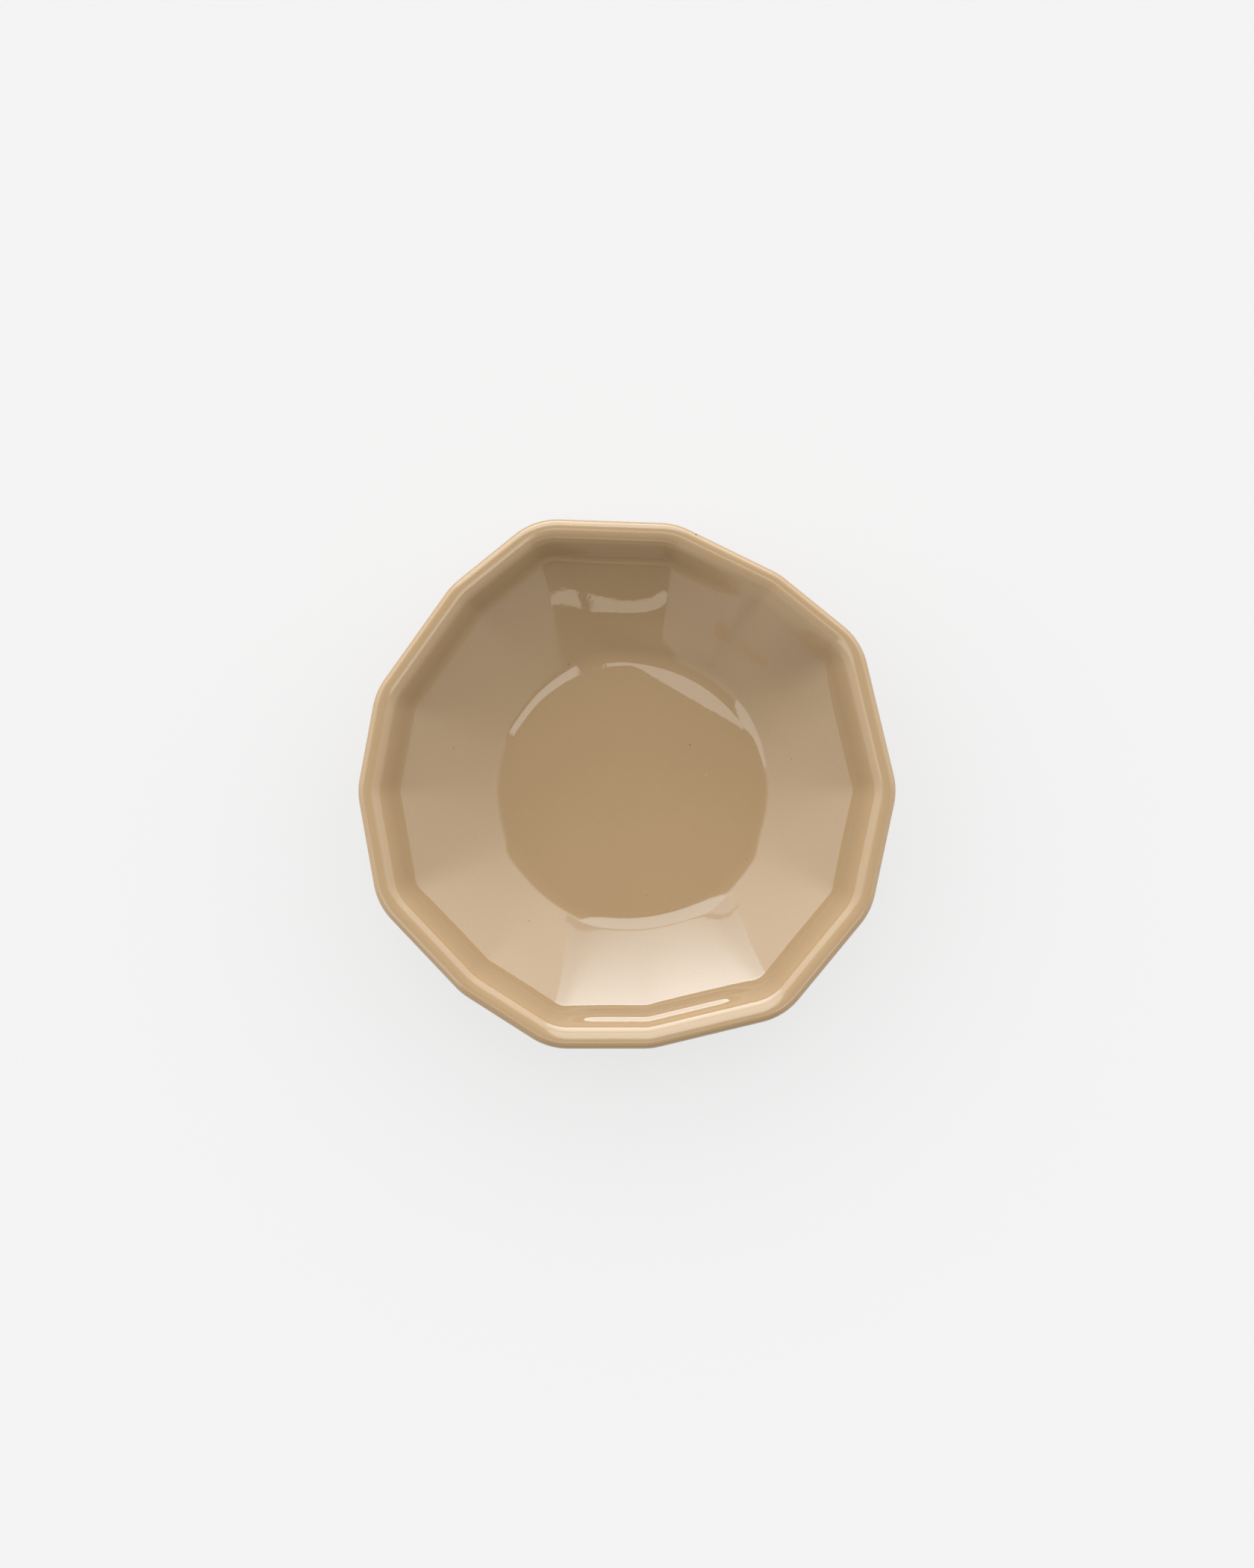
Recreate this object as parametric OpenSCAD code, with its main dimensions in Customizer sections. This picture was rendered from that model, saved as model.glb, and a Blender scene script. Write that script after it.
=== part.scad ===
// Faceted soy sauce dish: a pressed stoneware bowl with an uneven ring of flats, standing on
// a turned foot ring and coated with glaze inside, outside and under the base.
// Millimetres, +Z up. The origin is on the table, under the middle of the rim.

/* [Rim] */
// Distance from the middle of the dish to an average flat of the rim
rim_r = 46.6; // [42:0.2:54]
// Radius that rounds the rim's corners, seen from above
rim_corner_r = 12; // [8:0.5:14]
// Radius left at the creases between the flats, at the shoulder
crease_r = 6; // [4:0.2:8]
// How far a crease spreads to each side along the wall below the shoulder
crease_spread = 4.5; // [3:0.5:6]
// Radius of the lip's outer edge
lip_out_r = 1.6; // [1.2:0.1:2.4]
// Radius of the lip's inner edge
lip_in_r = 2.6; // [2:0.1:4]
// Width of the level strip along the lip's crest
lip_land = 0.2; // [0.1:0.1:1]

/* [Bowl] */
// Depth from the lip's crest to the middle of the well's floor
bowl_depth = 18; // [15:0.5:22]
// Slope of the steep band under the lip, in degrees from level
band_slope = 62; // [56:1:72]
// Drop from the lip's crest to the foot of the steep band
band_drop = 6.3; // [5:0.1:8]
// Radius of the shoulder between the steep band and the wall
shoulder_r = 7; // [4:0.5:9]
// How far the bend in the middle of the wall lies below a straight wall
wall_dip = 0.9; // [0.4:0.1:1.6]
// Radius of the well, to where the wall would meet its floor
well_r = 24; // [18:0.5:26]
// Radius of the curve between the wall and the well's floor
well_fillet_r = 5; // [2:0.5:6]
// Depth of the floor's middle below its edge
floor_dip = 0.8; // [0.4:0.1:1.2]
// How far the well, the base and the foot lie to the right of the rim's middle, and behind it
well_right = 1.3; // [-2:0.1:2]
well_back = -1.3; // [-2:0.1:2]

/* [Outside] */
// Thickness of the finished wall, square to its surface
wall_t = 4.2; // [3.6:0.1:5.5]
// Lean of the band under the lip outside, in degrees from upright
outer_lean = 12; // [6:1:18]
// Radius of the outside shoulder
outer_shoulder_r = 9; // [4:0.5:12]
// Radius that turns the outside wall under the base
base_edge_r = 1.5; // [0.8:0.1:2.5]
// Thickness of the base, from the clay underside to the middle of the finished floor
base_t = 4.5; // [3.8:0.1:6]

/* [Glaze] */
// Thickness of the glaze
glaze_t = 0.4; // [0.2:0.05:0.6]

/* [Foot] */
// How far the foot ring sits in from the edge of the base
foot_set_in = 1.8; // [1.2:0.1:4]
// Width of the foot ring where it meets the base
foot_w = 4; // [3:0.1:6]
// Height of the foot ring
foot_h = 3; // [2:0.1:5]
// Draft of the foot ring's sides, in degrees from upright
foot_draft = 10; // [4:1:14]
// Radius of the foot ring's two lower edges
foot_edge_r = 0.6; // [0.3:0.1:1]

/* [Hidden] */
$fn = 96;
clay_colour = "#d8c3a5";
glaze_colour = "#b0946f";

// The rim's flats, anticlockwise: the angle each faces, and how far it stands out of rim_r
FLATS = [
    [13.5, -0.4], [51, -0.8], [64, -1.4], [88, -0.2], [129, 0.3], [144.5, -0.8], [169.5, 0.2],
    [190, 0.7], [223.5, 0.2], [237.5, 0.4], [270, 0.2], [283.5, -0.1], [320.5, 1], [348, 0.3],
];
// Share of its run that the bend of the wall or of the floor takes up
BEND_SHARE = 0.95;
// Share of the way from the shoulder to the foot over which a crease loses its edge
SOFTEN_SHARE = 0.65;
// Steps along a corner of the rim and along a flat, the fewest along a curve of the profile, and
// the largest turn of such a step, in degrees
CORNER_STEPS = 4;
FLAT_STEPS = 3;
CURVE_STEPS = 2;
CURVE_TURN = 20;

// Levels
base_z = foot_h;
well_z = base_z + base_t;
crest_z = well_z + bowl_depth;

// Plane geometry
function heading(a) = [cos(a), sin(a)];
function left_of(a) = [-sin(a), cos(a)];
function toward(from, to) = atan2(to.y - from.y, to.x - from.x);
function turned_by(a, b) = (b - a + 540) % 360 - 180;
function blend(a, b, share) = a * (1 - share) + b * share;
function reversed(list) = [for (i = [len(list) - 1 : -1 : 0]) list[i]];

// The rim seen from above. A column of the dish is the middle of its corner's rounding, or that
// middle carried along a flat, with the angle it faces. The rim lies rim_corner_r out from it.
function flat_at(i) = FLATS[(i + len(FLATS)) % len(FLATS)];
function corner_core(i) =
    let (
        a = flat_at(i - 1),
        b = flat_at(i),
        reach_a = rim_r + a[1] - rim_corner_r,
        reach_b = rim_r + b[1] - rim_corner_r
    )
    [reach_a * sin(b[0]) - reach_b * sin(a[0]), reach_b * cos(a[0]) - reach_a * cos(b[0])]
        / sin(b[0] - a[0]);
function corner_columns(i) =
    let (start = flat_at(i - 1)[0], turn = turned_by(start, flat_at(i)[0]))
    [for (step = [0 : CORNER_STEPS]) [corner_core(i), start + turn * step / CORNER_STEPS]];
function flat_columns(i) = [
    for (step = [1 : FLAT_STEPS - 1])
        [blend(corner_core(i), corner_core(i + 1), step / FLAT_STEPS), flat_at(i)[0]],
];
columns = [for (i = [0 : len(FLATS) - 1]) each concat(corner_columns(i), flat_columns(i))];
rim_points = [for (column = columns) column[0] + rim_corner_r * heading(column[1])];
rim_middle = [
    for (axis = [0, 1])
        let (along = [for (point = rim_points) point[axis]]) (min(along) + max(along)) / 2,
];

// A column's place at a reach from the middle: parallel to the rim down to the creases, then about
// the well's middle, standing off a circle by an offset that fades out towards the foot. The columns
// fan out from the well's middle to the rim.
well_axis = [well_right, well_back];
crease_reach = rim_r - rim_corner_r + crease_r;
function beside_rim(column, reach) =
    column[0] + (reach - rim_r + rim_corner_r) * heading(column[1]) - rim_middle;
function unit(v) = v / norm(v);
fans = [for (column = columns) unit(beside_rim(column, rim_r) - well_axis)];
offsets = [
    for (k = [0 : len(columns) - 1])
        beside_rim(columns[k], crease_reach) - well_axis - crease_reach * fans[k],
];

// The same offsets with each crease spread along the wall, as a mean of the columns around it,
// weighted by nearness and by the width of each column
fan_turns = [for (fan = fans) atan2(fan.y, fan.x)];
spread_turn = crease_spread / rim_r * 180 / PI;
function column_width(k) =
    let (count = len(columns)) turned_by(fan_turns[(k + count - 1) % count], fan_turns[(k + 1) % count]);
function nearness(turn, k) = exp(-pow(turned_by(turn, fan_turns[k]) / spread_turn, 2) / 2);
soft_offsets = [
    for (turn = fan_turns)
        let (
            weights = [for (k = [0 : len(columns) - 1]) nearness(turn, k) * column_width(k)],
            whole = weights * [for (weight = weights) 1]
        )
        (weights * offsets) / whole,
];

function eased(share) = share * share * (3 - 2 * share);
function place(k, reach) =
    let (
        faceted = max((reach - foot_r) / (crease_reach - foot_r), 0),
        sharpness = eased(max(1 - (1 - faceted) / SOFTEN_SHARE, 0))
    )
    reach >= crease_reach ? beside_rim(columns[k], reach)
        : well_axis + reach * fans[k] + faceted * blend(soft_offsets[k], offsets[k], sharpness);

// The finished profile, from under the base round the lip to the well, as [reach, z, heading],
// with the dish on its left.
function curve(before, at, after, radius) =
    let (
        start_heading = toward(before, at),
        turn = turned_by(start_heading, toward(at, after)),
        start = at - radius * tan(abs(turn) / 2) * heading(start_heading),
        centre = start + sign(turn) * radius * left_of(start_heading),
        steps = max(CURVE_STEPS, ceil(abs(turn) / CURVE_TURN))
    )
    [
        for (step = [0 : steps])
            let (
                now = start_heading + turn * step / steps,
                point = centre - sign(turn) * radius * left_of(now)
            )
            [point.x, point.y, now],
    ];

// Corners of the inside, from the lip to the middle of the well
lip_corner_out = [rim_r - lip_out_r + lip_out_r * tan(45 + outer_lean / 2), crest_z];
lip_corner_in = [rim_r - lip_out_r - lip_land - lip_in_r * tan(band_slope / 2), crest_z];
shoulder = lip_corner_in - [band_drop / tan(band_slope), band_drop];
well_corner = [well_r, well_z + floor_dip];
floor_middle = [well_r / 2, well_z];
well_middle = [0, well_z];
wall_slope = toward(well_corner, shoulder);
wall_middle = blend(shoulder, well_corner, 0.5) - wall_dip * left_of(wall_slope);

// The bends of the wall and the floor fill the runs that the curves beside them leave free
upper_slope = toward(wall_middle, shoulder);
lower_slope = toward(well_corner, wall_middle);
shoulder_run = shoulder_r * tan((band_slope - upper_slope) / 2);
floor_slope = toward(floor_middle, well_corner);
well_run = well_fillet_r * tan((lower_slope - floor_slope) / 2);
bend_run = BEND_SHARE * (norm(shoulder - wall_middle) - max(shoulder_run, well_run));
wall_bend_r = bend_run / tan((upper_slope - lower_slope) / 2);
floor_run = BEND_SHARE * (norm(well_corner - floor_middle) - well_run);
floor_bend_r = floor_run / tan(floor_slope / 2);

// Corners of the outside, whose wall runs wall_t below the inside one, down to the foot
under_well = well_corner - wall_t * left_of(wall_slope);
coat_z = base_z - glaze_t;
base_corner = under_well + heading(wall_slope) * (coat_z - under_well.y) / sin(wall_slope);
outer_run = (lip_corner_out.x - under_well.x - (crest_z - under_well.y) * tan(outer_lean))
    / (cos(wall_slope) - sin(wall_slope) * tan(outer_lean));
outer_shoulder = under_well + outer_run * heading(wall_slope);
foot_r = base_corner.x - foot_set_in;
coat_edge = [foot_r, coat_z];

outside_line = concat(
    [[coat_edge.x, coat_edge.y, 0]],
    curve(coat_edge, base_corner, outer_shoulder, base_edge_r),
    curve(base_corner, outer_shoulder, lip_corner_out, outer_shoulder_r),
    curve(outer_shoulder, lip_corner_out, lip_corner_in, lip_out_r)
);
inside_line = concat(
    curve(lip_corner_out, lip_corner_in, shoulder, lip_in_r),
    curve(lip_corner_in, shoulder, wall_middle, shoulder_r),
    curve(shoulder, wall_middle, well_corner, wall_bend_r),
    curve(wall_middle, well_corner, floor_middle, well_fillet_r),
    curve(well_corner, floor_middle, well_middle, floor_bend_r)
);
crest_point = blend(outside_line[len(outside_line) - 1], inside_line[0], 0.5);
outside_profile = concat(outside_line, [crest_point]);
inside_profile = concat([crest_point], inside_line);

// The same profile, some way under the finished surface
function under(profile, depth) =
    [for (at = profile) [at.x, at.y] + depth * left_of(at.z)];
finished_outside = under(outside_profile, 0);
finished_inside = under(inside_profile, 0);
clay_outside = under(outside_profile, glaze_t);
clay_inside = under(inside_profile, glaze_t);
clay_whole = concat(clay_outside, [for (i = [1 : len(clay_inside) - 1]) clay_inside[i]]);

// A solid skinned over rings of columns, one ring for each point of a profile. A looped profile
// closes on itself, and an open one has a flat cap on its first and last rings. Quads are always
// cut from the lower ring to the next column of the upper one, so touching skins match.
function cut_quad(a, b, c, d, rising) =
    rising ? [[a, c, b], [a, d, c]] : [[a, d, b], [b, d, c]];
module skinned(profile, looped) {
    count = len(columns);
    rings = len(profile);
    points = [
        for (at = profile, k = [0 : count - 1])
            let (flat_place = place(k, at.x)) [flat_place.x, flat_place.y, at.y],
    ];
    sides = [
        for (i = [0 : looped ? rings - 1 : rings - 2])
            let (
                next = (i + 1) % rings,
                low = profile[i],
                high = profile[next],
                rising = high.y > low.y || (high.y == low.y && high.x > low.x)
            )
            for (k = [0 : count - 1])
                let (side = (k + 1) % count)
                each cut_quad(
                    i * count + k, i * count + side,
                    next * count + side, next * count + k, rising
                ),
    ];
    middle = len(points);
    last = (rings - 1) * count;
    caps = [
        for (k = [0 : count - 1])
            let (side = (k + 1) % count)
            each [[middle, k, side], [middle + 1, last + side, last + k]],
    ];
    middles = [for (end = [profile[0], profile[rings - 1]]) [well_axis.x, well_axis.y, end.y]];
    if (looped) polyhedron(points, sides);
    else polyhedron(concat(points, middles), concat(sides, caps));
}

// The pressed bowl
module clay_body() {
    color(clay_colour) skinned(clay_whole, false);
}

// The bare ring that the dish stands on, luted to the flat underside
foot_lean = foot_h * tan(foot_draft);
foot_in_r = foot_r - foot_w;
module foot_ring() {
    foot_corners = [
        [foot_in_r, base_z], [foot_in_r + foot_lean, 0],
        [foot_r - foot_lean, 0], [foot_r, base_z],
    ];
    section = concat(
        [foot_corners[0]],
        under(curve(foot_corners[0], foot_corners[1], foot_corners[2], foot_edge_r), 0),
        under(curve(foot_corners[1], foot_corners[2], foot_corners[3], foot_edge_r), 0),
        [foot_corners[3]]
    );
    color(clay_colour) translate(well_axis) rotate_extrude() polygon(section);
}

// The coat over the lip's inner half, the wall and the well
module inside_glaze() {
    color(glaze_colour) skinned(concat(reversed(clay_inside), finished_inside), false);
}

// The coat over the lip's outer half, the outside and the edge of the base, up to the foot
module outside_glaze() {
    color(glaze_colour) skinned(concat(finished_outside, reversed(clay_outside)), true);
}

// The coat inside the foot ring, meeting the ring's inner side
module underside_glaze() {
    coat_r = foot_in_r + glaze_t * tan(foot_draft);
    section = [[0, coat_z], [coat_r, coat_z], [foot_in_r, base_z], [0, base_z]];
    color(glaze_colour) translate(well_axis) rotate_extrude() polygon(section);
}

clay_body();
foot_ring();
inside_glaze();
outside_glaze();
underside_glaze();
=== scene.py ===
"""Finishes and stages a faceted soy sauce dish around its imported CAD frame.

The glaze coats and the foot are swept from the rim's flats and a turned profile by one Geometry
Nodes tree, in metres, in the frame of the CAD model.
"""

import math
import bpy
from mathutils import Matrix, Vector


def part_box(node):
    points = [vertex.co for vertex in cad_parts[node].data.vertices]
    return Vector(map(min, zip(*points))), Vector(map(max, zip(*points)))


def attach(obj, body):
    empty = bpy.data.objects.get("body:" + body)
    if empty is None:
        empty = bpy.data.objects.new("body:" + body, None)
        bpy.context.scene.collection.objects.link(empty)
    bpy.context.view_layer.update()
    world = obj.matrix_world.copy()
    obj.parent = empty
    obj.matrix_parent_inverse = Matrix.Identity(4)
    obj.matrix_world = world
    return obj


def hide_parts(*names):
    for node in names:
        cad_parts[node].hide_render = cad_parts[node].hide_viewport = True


bl_info = {
    "name": "Faceted Soy Sauce Dish",
    "version": (1, 0, 0),
    "blender": (4, 5, 0),
    "location": "View3D > Sidebar > Dish",
    "description": "Glazes a faceted soy sauce dish and sets it on a pale studio floor",
    "category": "Add Mesh",
}

from collections import namedtuple

import bpy
from bpy.props import FloatProperty, FloatVectorProperty, IntProperty, PointerProperty
from mathutils import Matrix, Vector

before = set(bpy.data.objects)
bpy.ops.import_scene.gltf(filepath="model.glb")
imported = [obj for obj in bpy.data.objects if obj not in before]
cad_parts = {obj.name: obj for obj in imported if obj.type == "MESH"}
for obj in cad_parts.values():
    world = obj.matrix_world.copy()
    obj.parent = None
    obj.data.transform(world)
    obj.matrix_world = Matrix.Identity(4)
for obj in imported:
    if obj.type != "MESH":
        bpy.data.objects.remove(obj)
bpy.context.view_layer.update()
BODY = "root"
MM = 0.001

# The rim's flats, anticlockwise: the angle each faces in degrees, and how far it stands out of
# the rim radius in millimetres
FLATS = (
    (13.5, -0.4), (51, -0.8), (64, -1.4), (88, -0.2), (129, 0.3), (144.5, -0.8), (169.5, 0.2),
    (190, 0.7), (223.5, 0.2), (237.5, 0.4), (270, 0.2), (283.5, -0.1), (320.5, 1), (348, 0.3),
)

# Levels, the foot's radius and the middle of the well and foot, as the CAD frame holds them
CREST_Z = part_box("outside_glaze")[1].z
BASE_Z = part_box("clay_body")[0].z
FOOT_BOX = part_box("foot_ring")
FOOT_R = (FOOT_BOX[1].x - FOOT_BOX[0].x) / 2
WELL_AXIS = ((FOOT_BOX[0] + FOOT_BOX[1]) / 2).to_2d()


# Settings
def length(name, description, default):
    return FloatProperty(name=name, description=description, default=default, unit="LENGTH", precision=5)


def angle(name, description, degrees):
    return FloatProperty(name=name, description=description, default=math.radians(degrees), subtype="ANGLE")


def amount(name, description, default):
    return FloatProperty(name=name, description=description, default=default, min=0)


def colour(name, description, default):
    return FloatVectorProperty(
        name=name, description=description, default=default, size=3, subtype="COLOR", min=0, max=1
    )


class DishShape(bpy.types.PropertyGroup):
    rim_r: length("Rim radius", "From the middle to an average flat of the rim", 46.6 * MM)
    rim_corner_r: length("Rim corner radius", "Rounds the rim's corners, seen from above", 12 * MM)
    crease_r: length("Crease radius", "Left at the creases between flats, at the shoulder", 6 * MM)
    crease_spread: length("Crease spread", "How far a crease spreads to each side along the wall", 4.5 * MM)
    lip_out_r: length("Lip outer radius", "Outer edge of the lip", 1.2 * MM)
    lip_in_r: length("Lip inner radius", "Inner edge of the lip", 3.25 * MM)
    lip_land: length("Lip land", "Level strip along the crest of the lip", 0.2 * MM)
    bowl_depth: length("Bowl depth", "From the crest of the lip to the floor of the well", 17.6 * MM)
    band_slope: angle("Band slope", "Slope of the steep band under the lip", 62)
    band_drop: length("Band drop", "From the crest down to the foot of the steep band", 6.3 * MM)
    shoulder_r: length("Shoulder radius", "Between the steep band and the wall", 7 * MM)
    wall_dip: length("Wall dip", "Depth of the wall's bend below a straight wall", 0.9 * MM)
    full_slope: angle("Full slope", "Slope of the wall where it runs straight up to the lip", 41.5)
    well_r: length("Well radius", "To where the wall would meet the floor", 24 * MM)
    well_fillet_r: length("Well fillet radius", "Between the wall and the floor", 6.5 * MM)
    floor_dip: length("Floor dip", "Depth of the floor's middle below its edge", 0.4 * MM)
    wall_t: length("Wall thickness", "Square to the wall, with its glaze", 4.2 * MM)
    outer_lean: angle("Outer lean", "Lean of the band under the lip outside", 12)
    outer_shoulder_r: length("Outer shoulder radius", "Outside, under the lip's band", 9 * MM)
    base_edge_r: length("Base edge radius", "Where the outside turns under the base", 1.5 * MM)
    glaze_t: length("Glaze thickness", "Thickness of every coat", 0.4 * MM)
    foot_w: length("Foot width", "Foot ring where it meets the base", 4 * MM)
    foot_draft: angle("Foot draft", "Lean of the foot ring's sides", 10)
    foot_edge_r: length("Foot edge radius", "Lower edges of the foot ring", 0.6 * MM)
    waver: length("Glaze waver", "Height of the glaze's slow unevenness", 0.02 * MM)
    pool_h: length("Pool height", "Glaze pooled against one side of the well", 0.33 * MM)
    ridge_h: length("Ridge height", "Glaze run into a ridge in the front of the band", 1.25 * MM)
    columns: IntProperty(name="Columns", description="Points around each piece", default=476, min=84)


class DishFinish(bpy.types.PropertyGroup):
    glaze: colour("Glaze", "Colour of the glaze at full depth", (0.40, 0.275, 0.151))
    glaze_thin: colour("Thin glaze", "Colour where the glaze thins over an edge", (0.47, 0.325, 0.18))
    glaze_fleck: colour("Fleck", "Iron flecks under the glaze", (0.16, 0.095, 0.05))
    glaze_roughness: amount("Glaze roughness", "Blur of the glaze's reflections", 0.03)
    glaze_ior: amount("Glaze index", "Index of refraction of the glaze", 1.6)
    clay: colour("Clay", "Bare fired clay of the foot", (0.62, 0.49, 0.35))
    clay_grit: colour("Grit", "Darker grains in the bare clay", (0.3, 0.21, 0.13))
    clay_roughness: amount("Clay roughness", "Dryness of the bare clay", 0.78)


class DishStage(bpy.types.PropertyGroup):
    backdrop: colour("Backdrop", "Pale floor and background", (0.87, 0.87, 0.87))
    view_distance: length("View distance", "From the camera straight down to the rim", 1)
    view_width: length("View width", "Width of the picture at the rim", 0.2216)
    soft_light: amount("Soft light", "Brightness of the even light all round, where 1 is white", 1.4)
    room_light: amount("Room light", "Brightness of the studio's walls as the glaze mirrors them", 1.23)
    panel_light: amount("Panel light", "Brightness of the panel over the back, as mirrored", 3.6)


# Node trees written as Python expressions
class Wire:
    """A node's output that Python's operators work on, adding Math nodes."""

    def __init__(self, sheet, socket):
        self.sheet = sheet
        self.socket = socket

    def math(self, operation, *others):
        return self.sheet.math(operation, self, *others)

    def __add__(self, other):
        return self.math("ADD", other)

    def __radd__(self, other):
        return self.sheet.math("ADD", other, self)

    def __sub__(self, other):
        return self.math("SUBTRACT", other)

    def __rsub__(self, other):
        return self.sheet.math("SUBTRACT", other, self)

    def __mul__(self, other):
        return self.math("MULTIPLY", other)

    def __truediv__(self, other):
        return self.math("DIVIDE", other)

    def __mod__(self, other):
        return self.math("MODULO", other)

    def least(self, other):
        return self.math("MINIMUM", other)

    def most(self, other):
        return self.math("MAXIMUM", other)

    def clamped(self):
        return self.sheet.node("ShaderNodeClamp", {}, {"Value": self})["Result"]

    def sloped(self, start, end):
        """0 at start, 1 at end, straight between."""
        return ((start - self) / (start - end)).clamped()

    def ramped(self, start, end):
        """0 at start, 1 at end, eased between."""
        settings = {"interpolation_type": "SMOOTHSTEP"}
        sockets = {"Value": self, "From Min": start, "From Max": end}
        return self.sheet.node("ShaderNodeMapRange", settings, sockets)["Result"]


class Made:
    """A node that was added, whose outputs come back as wires by name or identifier."""

    def __init__(self, sheet, node):
        self.sheet = sheet
        self.node = node

    def __getitem__(self, key):
        return Wire(self.sheet, find_socket(self.node.outputs, key))


class NodeSheet:
    """A node tree being written."""

    def __init__(self, tree):
        self.tree = tree
        tree.nodes.clear()

    def node(self, kind, settings=None, sockets=None):
        node = self.tree.nodes.new(kind)
        for name, value in (settings or {}).items():
            setattr(node, name, value)
        for key, value in (sockets or {}).items():
            target = find_socket(node.inputs, key)
            if isinstance(value, Wire):
                self.tree.links.new(value.socket, target)
            else:
                target.default_value = value
        return Made(self, node)

    def math(self, operation, *values):
        settings = {"operation": operation}
        return self.node("ShaderNodeMath", settings, dict(enumerate(values)))["Value"]

    def vector(self, operation, *values):
        settings = {"operation": operation}
        return self.node("ShaderNodeVectorMath", settings, dict(enumerate(values)))["Vector"]

    def stretched(self, vector, factor):
        settings = {"operation": "SCALE"}
        sockets = {"Vector": vector, "Scale": factor}
        return self.node("ShaderNodeVectorMath", settings, sockets)["Vector"]

    def mixed(self, factor, first, second, kind="Color"):
        settings = {"data_type": {"Color": "RGBA", "Vector": "VECTOR", "Float": "FLOAT"}[kind]}
        sockets = {"Factor_Float": factor, f"A_{kind}": first, f"B_{kind}": second}
        return self.node("ShaderNodeMix", settings, sockets)[f"Result_{kind}"]

    def combined(self, x, y, z):
        return self.node("ShaderNodeCombineXYZ", {}, {"X": x, "Y": y, "Z": z})["Vector"]

    def separated(self, vector):
        made = self.node("ShaderNodeSeparateXYZ", {}, {"Vector": vector})
        return made["X"], made["Y"], made["Z"]

    def noise(self, place, scale, detail):
        sockets = {"Vector": place, "Scale": scale, "Detail": detail}
        return self.node("ShaderNodeTexNoise", {}, sockets)["Fac"]


def find_socket(sockets, key):
    """A socket by its number, its identifier or, if it is in use, its name."""
    if isinstance(key, int):
        return sockets[key]
    for socket in sockets:
        if socket.identifier == key:
            return socket
    for socket in sockets:
        if socket.name == key and socket.enabled:
            return socket
    raise KeyError(f"no socket {key!r} among {[socket.name for socket in sockets]}")


def out_toward(x, y, azimuth):
    """How far a place lies out toward an azimuth in degrees."""
    turn = math.radians(azimuth)
    return x * math.cos(turn) + y * math.sin(turn)


def aside_of(x, y, azimuth):
    """The angle in radians by which a place lies aside of an azimuth, anticlockwise."""
    return out_toward(x, y, azimuth + 90).math("ARCTAN2", out_toward(x, y, azimuth))


# Plane geometry of the rim and the profile
CURVE_TURN = math.radians(3)
ROW_GAP = 0.8 * MM


def heading(turn):
    return Vector((math.cos(turn), math.sin(turn)))


def left_of(turn):
    return Vector((-math.sin(turn), math.cos(turn)))


def toward(start, end):
    return math.atan2(end.y - start.y, end.x - start.x)


def turned_by(first, second):
    return (second - first + math.pi) % math.tau - math.pi


def neighbours(items):
    """Each item after the one before it, all the way round."""
    return zip(items[-1:] + items[:-1], items)


class ProfilePoint:
    """A point of the turned profile: reach and height, the way it runs, its glaze and its fullness."""

    def __init__(self, at, turn, thin=0.0, waver=1.0, fuller=0.0):
        self.at = at
        self.turn = turn
        self.thin = thin
        self.waver = waver
        self.fuller = fuller

    def under(self, depth):
        """The same point some way under the finished surface."""
        at = self.at + depth * left_of(self.turn)
        return ProfilePoint(at, self.turn, self.thin, 0.0, self.fuller)


def curve(before, at, after, radius, thin=0.0, waver=1.0):
    """A rounded corner, as points close enough for smooth reflections."""
    start_turn = toward(before, at)
    turn = turned_by(start_turn, toward(at, after))
    side = math.copysign(1, turn)
    start = at - radius * math.tan(abs(turn) / 2) * heading(start_turn)
    centre = start + side * radius * left_of(start_turn)
    steps = max(2, math.ceil(abs(turn) / CURVE_TURN), math.ceil(abs(turn) * radius / ROW_GAP))
    points = []
    for step in range(steps + 1):
        now = start_turn + turn * step / steps
        points.append(ProfilePoint(centre - side * radius * left_of(now), now, thin, waver))
    return points


def filled(points):
    """The same line with more points along its straight stretches."""
    line = [points[0]]
    for first, second in zip(points, points[1:]):
        steps = max(1, math.ceil((second.at - first.at).length / ROW_GAP))
        for step in range(1, steps):
            share = step / steps
            thin = first.thin + (second.thin - first.thin) * share
            waver = first.waver + (second.waver - first.waver) * share
            line.append(ProfilePoint(first.at.lerp(second.at, share), first.turn, thin, waver))
        line.append(second)
    return line


def rim_cores(shape):
    """Middles of the roundings of the rim's corners, about the middle of the rim."""
    cores = []
    for (face_a, out_a), (face_b, out_b) in neighbours(FLATS):
        turn_a, turn_b = math.radians(face_a), math.radians(face_b)
        reach_a = shape.rim_r + out_a * MM - shape.rim_corner_r
        reach_b = shape.rim_r + out_b * MM - shape.rim_corner_r
        across = Vector((
            reach_a * math.sin(turn_b) - reach_b * math.sin(turn_a),
            reach_b * math.cos(turn_a) - reach_a * math.cos(turn_b),
        ))
        cores.append(across / math.sin(turn_b - turn_a))
    middle = Vector([(min(c[axis] for c in cores) + max(c[axis] for c in cores)) / 2 for axis in (0, 1)])
    return [core - middle for core in cores]


def rim_corners(shape):
    """Sharp corners of the rim, before they are rounded."""
    corners = []
    for core, ((face_a, _), (face_b, _)) in zip(rim_cores(shape), neighbours(FLATS)):
        turn = math.radians(face_a)
        half = turned_by(turn, math.radians(face_b)) / 2
        corners.append(core + heading(turn + half) * shape.rim_corner_r / math.cos(half))
    return corners


# Share of a straight stretch that its bend takes up, and how the fuller wall leaves the plain one:
# the height over which it blends, and how far below the lip that blend has its full height
BEND_SHARE = 0.95
FULL_BLEND = 0.25 * MM
FULL_BLEND_RUN = 8 * MM


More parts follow.
